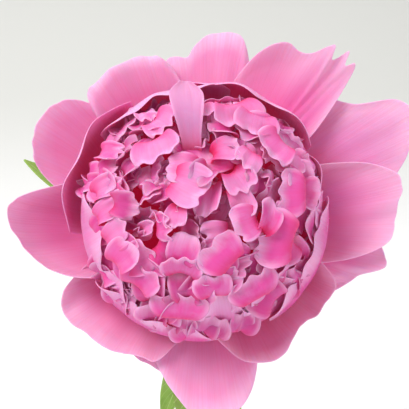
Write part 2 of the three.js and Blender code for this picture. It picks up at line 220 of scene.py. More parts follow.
class Nodes:
    """Adds nodes to one tree and joins them: an input is given as a value or as another node's output."""

    def __init__(self, tree):
        self.tree = tree

    def feed(self, node, inputs):
        """Sets a node's inputs, or joins them to other nodes' outputs."""
        for socket, value in inputs.items():
            if isinstance(value, bpy.types.NodeSocket):
                self.tree.links.new(value, node.inputs[socket])
            else:
                node.inputs[socket].default_value = value

    def add(self, kind, inputs=None, **settings):
        node = self.tree.nodes.new(kind)
        for key, value in settings.items():
            setattr(node, key, value)
        self.feed(node, inputs or {})
        return node

    def math(self, operation, a, b=0.0):
        return self.add("ShaderNodeMath", {0: a, 1: b}, operation=operation).outputs[0]

    def ramp(self, value, low, high, to_low=0.0, to_high=1.0):
        inputs = {"Value": value, "From Min": low, "From Max": high, "To Min": to_low, "To Max": to_high}
        node = self.add("ShaderNodeMapRange", inputs, interpolation_type="SMOOTHSTEP")
        return node.outputs["Result"]

    def mix(self, factor, a, b, blend="MIX"):
        node = self.add("ShaderNodeMix", {0: factor, 6: a, 7: b}, data_type="RGBA", blend_type=blend)
        return node.outputs[2]

    def noise(self, vector, scale, detail=3.0, roughness=0.5):
        inputs = {"Vector": vector, "Scale": scale, "Detail": detail, "Roughness": roughness}
        return self.add("ShaderNodeTexNoise", inputs).outputs["Fac"]

    def vector(self, x, y, z=0.0):
        return self.add("ShaderNodeCombineXYZ", {0: x, 1: y, 2: z}).outputs[0]

    def bump(self, height, strength, distance):
        inputs = {"Height": height, "Strength": strength, "Distance": distance}
        return self.add("ShaderNodeBump", inputs).outputs["Normal"]

    def petal_uv(self):
        """Across and along the piece, each from 0 to 1."""
        uv = self.add("ShaderNodeUVMap", uv_map=UV_NAME).outputs[0]
        split = self.add("ShaderNodeSeparateXYZ", {0: uv}).outputs
        return split[0], split[1]


def new_group(name, inputs, outputs):
    """A node group with named sockets. inputs and outputs map each name to a socket type."""
    group = bpy.data.node_groups.new(name, "ShaderNodeTree")
    for socket, kind in inputs.items():
        group.interface.new_socket(name=socket, in_out="INPUT", socket_type=kind)
    for socket, kind in outputs.items():
        group.interface.new_socket(name=socket, in_out="OUTPUT", socket_type=kind)
    nodes = Nodes(group)
    return group, nodes, nodes.add("NodeGroupInput").outputs, nodes.add("NodeGroupOutput").inputs


def rgba(values):
    return (values[0], values[1], values[2], 1.0)


FLOAT = "NodeSocketFloat"
COLOUR = "NodeSocketColor"
# Painted glow: light that a petal emits, standing in for the light that comes through it from those behind
# it, as a share of its own colour.
PAINTED_GLOW_AT_ROOT = 0.11
PAINTED_GLOW_AT_END = 0.02


def petal_tint_group():
    """The colour of a petal from its root to its edge, with fine veins that run along it. Its root is painted
    cavity shade, and its glow is painted light for the light that comes through it.
    """
    name = "petal_tint"
    if name in bpy.data.node_groups:
        return bpy.data.node_groups[name]
    group, nodes, given, out = new_group(
        name,
        {
            "Root": COLOUR, "Body": COLOUR, "Edge": COLOUR, "Drift": COLOUR,
            "Root Start": FLOAT, "Root End": FLOAT, "Edge Start": FLOAT, "Vein Count": FLOAT,
        },
        {"Color": COLOUR, "Glow": COLOUR, "Height": FLOAT},
    )
    across, along = nodes.petal_uv()
    tone = nodes.add("ShaderNodeAttribute", attribute_name="tone").outputs["Fac"]
    cool = nodes.add("ShaderNodeAttribute", attribute_name="cool").outputs["Fac"]
    sideways = nodes.math("MULTIPLY", nodes.math("ABSOLUTE", nodes.math("SUBTRACT", across, 0.5)), 2.0)
    seed = nodes.math("MULTIPLY", tone, 37.0)

    broad = nodes.vector(nodes.math("MULTIPLY", across, 2.2), nodes.math("MULTIPLY", along, 2.6), seed)
    cloud = nodes.noise(broad, 1.0)
    drift = nodes.math("MAXIMUM", nodes.ramp(cloud, 0.42, 0.66, 0.0, 0.35), cool)
    drifted = nodes.mix(drift, given["Body"], given["Drift"])
    uneven = nodes.math("ADD", along, nodes.math("MULTIPLY", nodes.math("SUBTRACT", cloud, 0.5), 0.25))
    # Painted shade: each petal starts in the deep cavity colour at its root, where it sits in the bloom's
    # shaded hollows, and turns to its body colour along it.
    bodied = nodes.mix(nodes.ramp(uneven, given["Root Start"], given["Root End"]), given["Root"], drifted)

    end = nodes.ramp(uneven, given["Edge Start"], 1.02)
    rim = nodes.math("MULTIPLY", nodes.ramp(sideways, 0.72, 1.0), nodes.ramp(along, 0.35, 0.75))
    edge = nodes.math("MAXIMUM", end, rim)
    # Paler ends follow the tone, which differs at random and, on the ball's petals, also carries painted
    # shade towards the ball's lower edge.
    pale = nodes.math("MULTIPLY", nodes.ramp(tone, 0.45, 1.0, 0.0, 0.55), nodes.ramp(along, 0.3, 0.7))
    edged = nodes.mix(nodes.math("MAXIMUM", edge, pale), bodied, given["Edge"])

    counted = nodes.math("MULTIPLY", across, given["Vein Count"])
    veins = nodes.noise(nodes.vector(counted, nodes.math("MULTIPLY", along, 1.4), seed), 1.0, 4.0, 0.6)
    veined = nodes.mix(nodes.ramp(veins, 0.34, 0.62, 0.10, 0.0), edged, given["Root"])
    # Lightness follows the tone too, so the painted shade darkens the ball's lower petals.
    deepest = nodes.ramp(tone, 0.0, 0.3, 0.78, 0.95)
    lightness = nodes.math("ADD", deepest, nodes.math("MULTIPLY", tone, 0.08))
    toned = nodes.add("ShaderNodeHueSaturation", {"Color": veined, "Value": lightness}).outputs[0]

    nodes.tree.links.new(toned, out["Color"])
    nodes.tree.links.new(veins, out["Height"])
    # Painted glow: strongest at the root and fading along the petal.
    through = nodes.mix(nodes.ramp(along, 0.0, 0.85), rgba([PAINTED_GLOW_AT_ROOT] * 3), rgba([PAINTED_GLOW_AT_END] * 3))
    nodes.tree.links.new(nodes.mix(1.0, veined, through, "MULTIPLY"), out["Glow"])
    return group


def new_material(name):
    material = bpy.data.materials.new(name)
    material.use_nodes = True
    nodes = Nodes(material.node_tree)
    shader = material.node_tree.nodes["Principled BSDF"]
    return material, nodes, shader


def petal_material(name, body, edge, root_start, root_end, edge_start, vein_count):
    """Petal tissue: a velvety, slightly translucent skin with a bump along its veins, and a painted glow for
    the light that comes through it from the petals behind.
    """
    colours = bpy.context.scene.peony_colours
    material, nodes, shader = new_material(name)
    tint = nodes.add("ShaderNodeGroup", node_tree=petal_tint_group())
    nodes.feed(tint, {
        "Root": rgba(colours.cavity_shade_and_vein), "Body": rgba(body), "Edge": rgba(edge), "Drift": rgba(colours.mauve),
        "Root Start": root_start, "Root End": root_end, "Edge Start": edge_start, "Vein Count": vein_count,
    })
    nodes.feed(shader, {
        "Base Color": tint.outputs["Color"],
        # Painted glow: the petal emits a little of its own colour, for the light that comes through it from
        # the petals behind.
        "Emission Color": tint.outputs["Glow"],
        "Emission Strength": 1.0,
        "Roughness": nodes.ramp(tint.outputs["Height"], 0.3, 0.7, 0.62, 0.48),
        "Normal": nodes.bump(tint.outputs["Height"], 0.35, 0.0006),
        "Subsurface Weight": 0.4,
        "Subsurface Radius": (1.0, 0.16, 0.30),
        "Subsurface Scale": 0.0015,
        "Sheen Weight": 0.06,
        "Sheen Roughness": 0.4,
        "Specular IOR Level": 0.22,
    })
    return material


# ---- petals


def ball_distance(direction, sizes):
    """How far the ball's surface is from the middle of the receptacle, in millimetres."""
    radius = sizes.ball_radius / MM
    half = sizes.ball_half_height / MM
    rise = sizes.ball_rise / MM
    flat = math.hypot(direction.x, direction.y)
    a = (flat / radius) ** 2 + (direction.z / half) ** 2
    b = -2.0 * direction.z * rise / half**2
    c = (rise / half) ** 2 - 1.0
    return (-b + math.sqrt(b * b - 4.0 * a * c)) / (2.0 * a)


def spiral_directions(count, spread):
    """Directions spread evenly over a cap, in the order that petals grow."""
    golden = math.pi * (3.0 - math.sqrt(5.0))
    depth = 1.0 - math.cos(spread)
    for i in range(count):
        z = 1.0 - depth * (i + 0.5) / count
        flat = math.sqrt(1.0 - z * z)
        yield Vector((flat * math.cos(i * golden), flat * math.sin(i * golden), z))


def notched(v, notches):
    """How much of a petal's length is left at v, where notches are (place, width, depth)."""
    return 1.0 - sum(depth * math.exp(-(((v - place) / width) ** 2)) for place, width, depth in notches)


def flap_profile(form, steps=20):
    """The side view of a petal's flap: (rise, reach inwards, bend) at even steps along it."""
    points = [(0.0, 0.0, 0.0)]
    for step in range(steps):
        along = (step + 0.5) / steps
        unlifted = 1.0 - form["lifted"] * smooth(0.5, 1.0, along)
        bend = form["curl"] * smooth(-0.15, form["bent_by"], along) * unlifted
        rise, inwards, _ = points[-1]
        pace = form["flap"] / steps
        points.append((rise + pace * math.cos(bend), inwards + pace * math.sin(bend), bend))
    return points


CLAW_FOOT = 9.6
CLAW_SHARE = 0.25


def petaloid_surface(direction, reach, form):
    """One inner petal: a narrow claw from the receptacle, then a flap that curls at its end."""
    side = Vector((0.0, 0.0, 1.0)).cross(direction).normalized()
    inwards = direction.cross(side)
    turn = Matrix.Rotation(form["roll"], 3, direction)
    side = turn @ side
    inwards = turn @ inwards
    profile = flap_profile(form)
    shoulder = reach - max(point[0] for point in profile)
    back = -0.4 * max(point[1] for point in profile)

    def surface(u, v):
        if u < CLAW_SHARE:
            share = u / CLAW_SHARE
            s = lerp(CLAW_FOOT, shoulder, share)
            e = back * share
            half = lerp(1.6, 0.48 * form["half"], share**1.5)
            bend = 0.0
            t = 0.0
        else:
            t = (u - CLAW_SHARE) / (1.0 - CLAW_SHARE)
            end = notched(v, form["notches"]) * (1.0 - 0.20 * abs(v) ** 3.6)
            place = t * lerp(1.0, end, t) * (len(profile) - 1)
            i = min(int(place), len(profile) - 2)
            rise, inner, bend = (lerp(profile[i][k], profile[i + 1][k], place - i) for k in range(3))
            s = shoulder + rise
            e = back + inner
            half = form["half"] * (0.42 + 0.60 * smooth(-0.2, 0.62, t)) * (1.0 - 0.10 * t**6)
        normal = math.sin(bend) * direction - math.cos(bend) * inwards
        cup = -form["cup"] * v * v * (0.3 + 0.7 * math.sin(math.pi * min(1.0, 0.15 + 0.8 * t)))
        wave = form["ruffle"] * t * t * math.sin(math.pi * form["waves"] * v + form["phase"])
        crease = 0.9 * t * noise.noise(Vector((2.2 * v, 3.0 * t, form["phase"])))
        twist = form["twist"] * v * t
        return direction * s + inwards * e + side * (half * v) + normal * (cup + wave + twist + crease)

    return surface


def petaloid_form(rng, polar):
    """Chooses one inner petal's sizes: the outer ones curl well in over the ball."""
    outer = smooth(math.radians(10), math.radians(55), polar)
    roll_range = lerp(2.6, 0.6, outer)
    notches = []
    for width, depth, chance in ((0.18, 0.34, 0.7), (0.13, 0.24, 0.7), (0.10, 0.20, 0.6)):
        if rng.random() < chance:
            place = rng.uniform(-0.75, 0.75)
            notches.append((place, width * rng.uniform(0.7, 1.2), depth * rng.uniform(0.3, 1.0)))
    broad = rng.random() < 0.55
    width = rng.uniform(1.0, 1.45) if broad else rng.uniform(0.55, 0.9)
    return {
        "roll": rng.uniform(-roll_range, roll_range),
        "curl": polar + math.radians(rng.uniform(20, 105) if broad else rng.uniform(-5, 75)),
        "bent_by": rng.uniform(0.5, 0.9),
        "lifted": rng.uniform(0.0, 0.6),
        "flap": rng.uniform(lerp(12, 14, outer), lerp(17, 21, outer)),
        "half": width * lerp(4.6, 6.2, outer),
        "cup": rng.uniform(-4.0, 2.2),
        "ruffle": rng.uniform(0.4, 2.2),
        "waves": rng.uniform(1.4, 3.8),
        "phase": rng.uniform(0.0, 6.28),
        "twist": rng.uniform(-2.4, 2.4),
        "notches": notches,
    }


# Inner petals that stand out: where each is, right of and above the bloom's axis, in millimetres, which way
# its end points in degrees, the length and half width of its flap, its curl in degrees and its tone.
MARKED_PETALS = [
    (-6.0, 6.0, -25, 19.0, 9.5, 95, 0.95),
    (-10.0, -6.0, -100, 11.0, 4.8, 80, 0.90),
    (9.0, 20.0, 5, 12.0, 6.0, 90, 1.00),
    (13.0, 35.0, -70, 15.0, 12.0, 120, 0.95),
    (20.0, 31.0, -100, 14.0, 10.0, 110, 0.80),
    (-17.0, 32.0, -40, 13.0, 8.0, 100, 0.85),
    (-18.0, 21.0, -70, 15.0, 10.5, 95, 0.85),
    (-38.0, 6.0, 25, 16.0, 5.0, 120, 0.85),
    (-37.0, -3.0, 30, 16.0, 5.0, 120, 0.75),
    (-34.0, -12.0, 35, 16.0, 5.0, 115, 0.90),
    (-30.0, -20.0, 45, 15.0, 7.0, 110, 0.75),
    (-8.0, -26.0, 80, 13.0, 8.5, 70, 1.00),
    (8.0, -21.0, 140, 16.0, 10.0, 110, 0.55),
    (30.0, -14.0, 170, 19.0, 12.0, 125, 0.50),
    (28.0, 22.0, -140, 15.0, 9.0, 110, 0.70),
    (-9.0, -40.0, 85, 15.0, 12.0, 125, 0.90),
    (-24.0, -29.0, 55, 13.0, 9.0, 110, 0.70),
    (20.0, -33.0, 120, 15.0, 11.0, 120, 0.60),
    (36.0, 4.0, 180, 16.0, 10.0, 125, 0.55),
    (42.0, 12.0, 30, 11.0, 7.5, 45, 0.70),
    (41.0, 19.0, 60, 11.0, 6.5, 50, 0.80),
    (43.0, 5.0, -20, 10.0, 7.0, 45, 0.60),
    (36.0, 26.0, 70, 12.0, 7.0, 60, 0.75),
    (-2.0, 36.0, -80, 13.0, 8.0, 100, 0.90),
    (14.0, 8.0, -60, 13.0, 7.0, 80, 0.80),
    (18.0, 17.0, -120, 13.0, 6.0, 85, 0.90),
    (4.0, -33.0, 100, 13.0, 8.0, 100, 0.70),
    (-16.0, -10.0, 0, 12.0, 6.0, 60, 0.60),
    (17.0, -8.0, 200, 14.0, 7.5, 85, 0.65),
]
# The heart's petals stand around the ball's axis, and the rim's where the ball meets the collar.
HEART_COUNT = 24
RIM_COUNT = 36
BALL_CAP = math.radians(76)
PETALOID_GRID = (8, 11)
MARKED_GRID = (12, 16)
TONGUE_GRID = (12, 24)


def random_notch(rng):
    return rng.uniform(-0.7, 0.7), rng.uniform(0.08, 0.2), rng.uniform(0.04, 0.2)


def marked_form(direction, heading, flap, half, curl, rng):
    """The sizes of an inner petal that stands out, with its heading and curl in degrees."""
    return {
        "roll": math.radians(heading) - math.atan2(direction.y, direction.x) - math.pi,
        "curl": math.radians(curl),
        "bent_by": 0.5,
        "lifted": rng.uniform(0.2, 0.6),
        "flap": flap,
        "half": half,
        "cup": rng.uniform(-3.0, 0.3),
        "ruffle": rng.uniform(0.5, 1.5),
        "waves": rng.uniform(1.4, 3.4),
        "phase": rng.uniform(0.0, 6.28),
        "twist": rng.uniform(-1.5, 1.5),
        "notches": [random_notch(rng) for _ in range(3)],
    }


def ball_direction(x, y, sizes):
    """From the middle of the receptacle to the ball's surface over a place right of and above its axis."""
    radius = sizes.ball_radius / MM
    flat = min(math.hypot(x, y) / radius, 0.99)
    z = (sizes.ball_rise + sizes.ball_half_height * math.sqrt(1.0 - flat * flat)) / MM
    return Vector((x, y, z)).normalized()


# The upright petal rides with the tuft at its place, right of and above the bloom's axis.
TONGUE_PLACE = (-5.0, 30.0)
TONGUE_FOOT = Vector((-4.0, 21.0, 51.0))
TONGUE_LENGTH = 28.0
TONGUE_LEAN = -3.0
TONGUE_CLAW = 0.35


def tongue_surface(u, v):
    """The upright petal near the top: it leans out over the ball's edge and shows its inner face."""
    if u < TONGUE_CLAW:
        share = u / TONGUE_CLAW
        return TONGUE_FOOT * lerp(0.2, 1.0, share) + Vector((lerp(1.5, 3.8, share) * v, 0.0, 0.0))
    t = (u - TONGUE_CLAW) / (1.0 - TONGUE_CLAW)
    half = lerp(3.8, 7.0, smooth(0.0, 0.8, t)) * math.sqrt(1.0 - 0.93 * smooth(0.68, 1.0, t) ** 3)
    rise = 4.0 * math.sin(0.5 * math.pi * min(1.0, 1.6 * t)) - 7.5 * smooth(0.4, 1.0, t)
    bow = 1.8 * v * v + 0.5 * math.sin(2.5 * v + 3.0 * t)
    return TONGUE_FOOT + Vector((TONGUE_LEAN * t + half * v, TONGUE_LENGTH * t, rise + bow))


def node_directions(matrix):
    """Each inner petal node's direction from the middle of the receptacle, in the bloom's frame."""
    back = matrix.inverted()
    found = {}
    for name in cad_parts:
        if name.startswith("inner_petal_"):
            low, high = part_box(name)
            found[name] = (back @ ((low + high) / 2)).normalized()
    return found


def leaning(polar, around):
    """The direction that leans by polar from the bloom's axis, towards around."""
    return Vector((math.sin(polar) * math.cos(around), math.sin(polar) * math.sin(around), math.cos(polar)))


def bottom_shaded_tone(tone, direction):
    """The tone of an inner petal, with painted shade: the ball's petals are darker towards its lower edge,
    where less light falls.
    """
    return tone * (1.0 - 0.75 * smooth(0.2, 0.7, -direction.y))


class PEONY_OT_inner_petals(bpy.types.Operator):
    """Builds the ball of ruffled inner petals, in one tuft for each inner petal of the solid model"""

    bl_idname = "peony.inner_petals"
    bl_label = "Inner petals"

    def execute(self, context):
        sizes = context.scene.peony_sizes
        colours = context.scene.peony_colours
        rng = random.Random(sizes.seed)
        matrix = bloom_matrix()
        tufts = {name: new_bmesh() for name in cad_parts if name.startswith("inner_petal_")}
        towards = node_directions(matrix)

        def tuft_at(aimed):
            return tufts[max(towards, key=lambda name: towards[name].dot(aimed))]

        for direction in spiral_directions(sizes.petaloids, BALL_CAP):
            jitter = Vector((rng.gauss(0.0, 0.05), rng.gauss(0.0, 0.05), rng.gauss(0.0, 0.03)))
            aimed = (direction + jitter).normalized()
            polar = math.acos(max(-1.0, min(1.0, aimed.z)))
            reach = ball_distance(aimed, sizes) * (1.03 - 0.20 * rng.random() ** 1.5)
            surface = petaloid_surface(aimed, reach, petaloid_form(rng, polar))
            add_sheet(tuft_at(aimed), surface, *PETALOID_GRID, bottom_shaded_tone(rng.random(), aimed))
        for k in range(HEART_COUNT):
            polar = math.radians(4.0 + 16.0 * k / HEART_COUNT)
            aimed = leaning(polar, 2.4 * k)
            form = petaloid_form(rng, polar)
            reach = ball_distance(aimed, sizes) * rng.uniform(0.72, 0.96)
            add_sheet(tuft_at(aimed), petaloid_surface(aimed, reach, form), *PETALOID_GRID, rng.random())
        for k in range(RIM_COUNT):
            around = 2.0 * math.pi * (k + rng.uniform(-0.3, 0.3)) / RIM_COUNT
            polar = math.radians(rng.uniform(54, 66))
            aimed = leaning(polar, around)
            form = petaloid_form(rng, polar)
            form["curl"] = polar + math.radians(rng.uniform(-15, 45))
            form["half"] *= 1.2
            reach = ball_distance(aimed, sizes) * rng.uniform(0.99, 1.05)
            surface = petaloid_surface(aimed, reach, form)
            add_sheet(tuft_at(aimed), surface, *PETALOID_GRID, bottom_shaded_tone(rng.random(), aimed))
        for right, up, heading, flap, half, curl, tone in MARKED_PETALS:
            aimed = ball_direction(right, up, sizes)
            reach = ball_distance(aimed, sizes) * rng.uniform(1.03, 1.07)
            surface = petaloid_surface(aimed, reach, marked_form(aimed, heading, flap, half, curl, rng))
            add_sheet(tuft_at(aimed), surface, *MARKED_GRID, bottom_shaded_tone(tone, aimed))
        tongue_tuft = tuft_at(ball_direction(*TONGUE_PLACE, sizes))
        add_sheet(tongue_tuft, tongue_surface, *TONGUE_GRID, tone=0.15, cool=1.0)
        material = petal_material(
            "inner_petal_tissue", colours.inner, colours.inner_edge,
            root_start=0.18, root_end=0.60, edge_start=0.64, vein_count=24.0,
        )
        for name, bm in tufts.items():
            bm.transform(matrix)
            finish_piece(bm, f"{name}_tuft", material, [name], sizes.petal_thickness)
        return {"FINISHED"}


# Collar petals: how far in over the ball each wraps, in degrees, how far its end leans out and how much it
# waves, in millimetres, its notches as (place, width, depth), and its tone.
COLLARS = [
    (8, -1.0, 2.0, [(0.35, 0.10, 0.16), (-0.5, 0.08, 0.08)], 0.45),
    (22, 0.5, 1.4, [(-0.2, 0.12, 0.08)], 0.6),
    (27, 1.0, 1.2, [(0.1, 0.09, 0.04), (0.6, 0.07, 0.08)], 0.7),
    (14, 3.5, 1.4, [(-0.6, 0.08, 0.06)], 0.7),
    (30, -2.5, 2.0, [(-0.3, 0.07, 0.10), (0.35, 0.08, 0.20)], 0.8),
    (20, -3.0, 2.2, [(-0.45, 0.06, 0.16), (-0.1, 0.06, 0.12), (0.35, 0.08, 0.22)], 0.5),
    (40, -4.5, 2.0, [(0.1, 0.12, 0.25), (-0.6, 0.1, 0.12)], 0.65),
    (24, -3.0, 1.8, [(-0.35, 0.10, 0.20), (0.5, 0.1, 0.10)], 0.45),
]
COLLAR_GRID = (22, 24)
COLLAR_TURN = 20.0
COLLAR_HALF_ANGLE = 33.0
COLLAR_CLEARANCE = 3.0
COLLAR_UNDER = 4.5
COLLAR_STEP = 2.5
COLLAR_CORNER = 16.0
# Every ring of petals starts on the receptacle, and each ring's root is a step below the one before.
ROOT_RADIUS = 9.5
ROOT_STEP = 1.7
FIRST_ROOT_BELOW = 2.0


def collar_line(ring, wrap, sizes):
    """The radius and height of a collar ring's surface at a share of the way from root to end."""
    outwards = COLLAR_CLEARANCE + COLLAR_STEP * ring
    radius = sizes.ball_radius / MM + outwards
    rise = sizes.ball_rise / MM
    half = sizes.ball_half_height / MM + outwards
    underside = -COLLAR_UNDER - COLLAR_STEP * ring
    root = -FIRST_ROOT_BELOW - ROOT_STEP * ring
    flat = radius - COLLAR_CORNER - ROOT_RADIUS
    bend = 0.5 * math.pi * COLLAR_CORNER
    upright = rise - underside - COLLAR_CORNER
    over = math.radians(wrap) * half
    whole = flat + bend + upright + over

    def line(share):
        gone = share * whole
        if gone < flat:
            return ROOT_RADIUS + gone, lerp(root, underside, gone / flat)
        gone -= flat
        if gone < bend:
            turn = gone / COLLAR_CORNER
            height = underside + COLLAR_CORNER * (1.0 - math.cos(turn))
            return radius + COLLAR_CORNER * (math.sin(turn) - 1.0), height
        gone -= bend
        if gone < upright:
            return radius, underside + COLLAR_CORNER + gone
        turn = (gone - upright) / half
        return radius * math.cos(turn), rise + half * math.sin(turn)

    return line


class PEONY_OT_collar_petals(bpy.types.Operator):
    """Builds the petals that wrap the ball"""

    bl_idname = "peony.collar_petals"
    bl_label = "Collar petals"

    def execute(self, context):
        sizes = context.scene.peony_sizes
        colours = context.scene.peony_colours
        rng = random.Random(sizes.seed + 1)
        material = petal_material(
            "collar_petal_tissue", colours.inner, colours.inner_edge,
            root_start=0.30, root_end=0.70, edge_start=0.72, vein_count=70.0,
        )
        for i, (wrap, flare, ruffle, notches, tone) in enumerate(COLLARS):
            line = collar_line(i % 2, wrap, sizes)
            middle = math.radians(COLLAR_TURN + i * 360.0 / len(COLLARS))
            phase = rng.uniform(0.0, 6.28)

            def surface(u, v):
                end = notched(v, notches) * (1.0 - 0.13 * v * v - 0.12 * v**6)
                share = u * lerp(1.0, end, u * u)
                fan = 0.55 + 0.45 * math.sin(0.5 * math.pi * min(1.0, 1.4 * u))
                turn = middle + math.radians(COLLAR_HALF_ANGLE) * fan * v
                radius, height = line(share)
                lip = smooth(0.75, 1.0, u)
                radius += ruffle * lip * math.sin(7.0 * v + phase) + flare * smooth(0.5, 1.0, u)
                height += 0.6 * ruffle * lip * math.sin(9.0 * v + 2.0 * phase)
                return Vector((radius * math.cos(turn), radius * math.sin(turn), height))

            name = f"collar_petal_{i + 1:02d}"
            add_bloom_piece(name, surface, COLLAR_GRID, material, sizes.petal_thickness, tone)
        return {"FINISHED"}


# Guard petals, in the solid model's order. Sizes are millimetres and angles degrees.
# Ring 0 lies against the collar and ring 2 against the sepals.
# outline is the petal's edge as (angle round the bloom's axis, distance from it).
# roll turns its end up towards the face, or down if negative. lift raises the end.
# cup raises both sides and sinks a fold along the petal, where fold is -1 at one side and 1 at the other.
# ruffle and waves shape its end, tone is how pale it is, and cool is how mauve.
GUARDS = [
    dict(ring=0, outline=[(160, 46), (168, 62), (175, 76), (180, 82),
                           (188, 78), (197, 72), (207, 59), (217, 42)],
         roll=80, lift=9, cup=5, fold=0.20, ruffle=0.8, waves=2.0, tone=0.65, cool=0.10),
    dict(ring=1, outline=[(128, 51), (135, 69), (145, 78), (156, 77), (166, 68), (174, 48)],
         roll=20, lift=3, cup=1, fold=-0.12, ruffle=1.2, waves=1.5, tone=0.95, cool=0.10),
    dict(ring=0, outline=[(96, 52), (104, 70), (113, 74), (124, 73), (133, 72), (138, 55)],
         roll=-55, lift=4, cup=-2, fold=0.25, ruffle=0.8, waves=2.0, tone=0.75, cool=0.10),
    dict(ring=1, outline=[(67, 50), (73, 70), (80, 80), (89, 77), (96, 69), (103, 69), (111, 50)],
         roll=-25, lift=1, cup=1, fold=-0.10, ruffle=1.0, waves=2.5, tone=0.95, cool=0.00),
    dict(ring=0, outline=[(36, 53), (41, 76), (44, 88), (46, 84), (48, 91), (50, 83),
                           (52, 88), (57, 81), (64, 80), (72, 71), (80, 52)],
         roll=10, lift=3, cup=2, fold=-0.35, ruffle=1.6, waves=3.5, tone=0.35, cool=0.10),
    dict(ring=1, outline=[(-1, 49), (6, 73), (14, 84), (21, 93), (29, 94), (36, 80), (43, 71), (50, 51)],
         roll=12, lift=0, cup=1, fold=0.20, ruffle=1.6, waves=2.2, tone=0.55, cool=1.0),
    dict(ring=0, outline=[(-22, 51), (-14, 70), (-6, 79), (1, 79), (9, 82), (16, 74), (24, 52)],
         roll=30, lift=4, cup=3, fold=-0.25, ruffle=1.6, waves=2.6, tone=0.40, cool=0.25),
    dict(ring=2, outline=[(-38, 46), (-30, 61), (-21, 69), (-15, 79), (-8, 74), (0, 51)],
         roll=15, lift=-2, cup=0, fold=0.10, ruffle=1.2, waves=2.0, tone=0.75, cool=0.15),
    dict(ring=0, outline=[(-84, 50), (-74, 63), (-61, 66), (-49, 61), (-38, 63), (-28, 62), (-19, 47)],
         roll=35, lift=9, cup=4, fold=0.30, ruffle=1.0, waves=1.8, tone=0.32, cool=0.00),
    dict(ring=1, outline=[(-117, 46), (-108, 63), (-100, 73), (-91, 83), (-82, 84), (-74, 74), (-63, 50)],
         roll=-20, lift=0, cup=1, fold=-0.30, ruffle=1.8, waves=2.4, tone=0.95, cool=0.10),
    dict(ring=1, outline=[(-160, 47), (-152, 65), (-143, 70), (-130, 68), (-117, 65), (-107, 62), (-100, 50)],
         roll=20, lift=5, cup=1, fold=0.15, ruffle=1.0, waves=2.0, tone=0.35, cool=0.10),
    dict(ring=2, outline=[(-134, 46), (-122, 62), (-107, 66), (-97, 72), (-88, 67), (-80, 48)],
         roll=5, lift=-2, cup=0, fold=-0.20, ruffle=1.6, waves=3.0, tone=0.70, cool=0.15),
]
ROLL_SHARE = 0.2
GUARD_GRID = (36, 30)
GUARD_STEP = 3.0
GUARD_RISE = 24.0
GUARD_RISE_OVER = 50.0
GUARD_WAVE = 4.0


def guard_height(radius, turn, ring, sizes):
    """The height of a guard ring's surface: flat under the collar, then rising, with one slow wave."""
    flat_radius = sizes.ball_radius / MM + COLLAR_CLEARANCE + COLLAR_STEP - COLLAR_CORNER
    root = -FIRST_ROOT_BELOW - ROOT_STEP * (2 + ring)
    flat = -COLLAR_UNDER - COLLAR_STEP * 2 - GUARD_STEP * ring
    inner = min(1.0, (radius - ROOT_RADIUS) / (flat_radius - ROOT_RADIUS))
    outer = max(0.0, (radius - flat_radius) / GUARD_RISE_OVER)
    wave = GUARD_WAVE * outer**2 * math.sin(3.0 * turn + 0.5)
    return lerp(root, flat, inner) + GUARD_RISE * outer**1.6 + wave


def guard_surface(spec, phase, sizes):
    """A wide petal that follows its ring out to its outline, rolls at its end and is cupped and folded."""
    edge = along_points([Vector(point) for point in spec["outline"]])
    middle = sum(point[0] for point in spec["outline"]) / len(spec["outline"])
    roll = math.radians(spec["roll"])

    def surface(u, v):
        angle_at, reach = edge(0.5 + 0.5 * v)
        reach += 1.6 * noise.noise(Vector((3.5 * v, phase, 0.0)))
        reach += 0.9 * noise.noise(Vector((11.0 * v, phase, 5.0)))
        turn = math.radians(lerp(middle, angle_at, smooth(-0.15, 0.6, u)))
        flat = min(u, 1.0 - ROLL_SHARE)
        far = lerp(ROOT_RADIUS, reach, flat / (1.0 - ROLL_SHARE) * (1.0 - 0.5 * ROLL_SHARE))
        rise = 0.0
        if u > flat:
            turned = roll * (u - flat) / ROLL_SHARE
            curve = 0.5 * ROLL_SHARE * reach / roll
            far += curve * math.sin(turned)
            rise = curve * (1.0 - math.cos(turned))
        lip = smooth(0.55, 1.0, u)
        wave = 1.4 * spec["ruffle"] * smooth(0.7, 1.0, u) * math.sin(math.pi * spec["waves"] * v + phase)
        wander = 3.0 * noise.noise(Vector((v, 2.0 * u, phase)))
        pleats = 0.5 * smooth(0.3, 0.9, u) * math.sin(19.0 * v + wander)
        crease = 2.6 * lip * noise.noise(Vector((2.4 * v, 2.0 * u, phase)))
        folded = 0.7 * math.exp(-((v - spec["fold"]) / 0.22) ** 2)
        cup = spec["cup"] * (1.6 * abs(v) ** 3 - folded) * smooth(0.3, 1.0, u)
        height = guard_height(far, turn, spec["ring"], sizes) + rise + wave + pleats + crease + cup
        return Vector((far * math.cos(turn), far * math.sin(turn), height + spec["lift"] * lip))

    return surface


class PEONY_OT_guard_petals(bpy.types.Operator):
    """Builds the wide outer petals"""

    bl_idname = "peony.guard_petals"
    bl_label = "Guard petals"

    def execute(self, context):
        sizes = context.scene.peony_sizes
        colours = context.scene.peony_colours
        rng = random.Random(sizes.seed + 2)
        material = petal_material(
            "guard_petal_tissue", colours.guard, colours.guard_edge,
            root_start=0.12, root_end=0.60, edge_start=0.50, vein_count=90.0,
        )
        for i, spec in enumerate(GUARDS):
            surface = guard_surface(spec, rng.uniform(0.0, 6.28), sizes)
            add_bloom_piece(
                f"guard_petal_{i + 1:02d}", surface, GUARD_GRID, material, sizes.petal_thickness,
                spec["tone"], spec["cool"],
            )
        return {"FINISHED"}


# ---- greenery


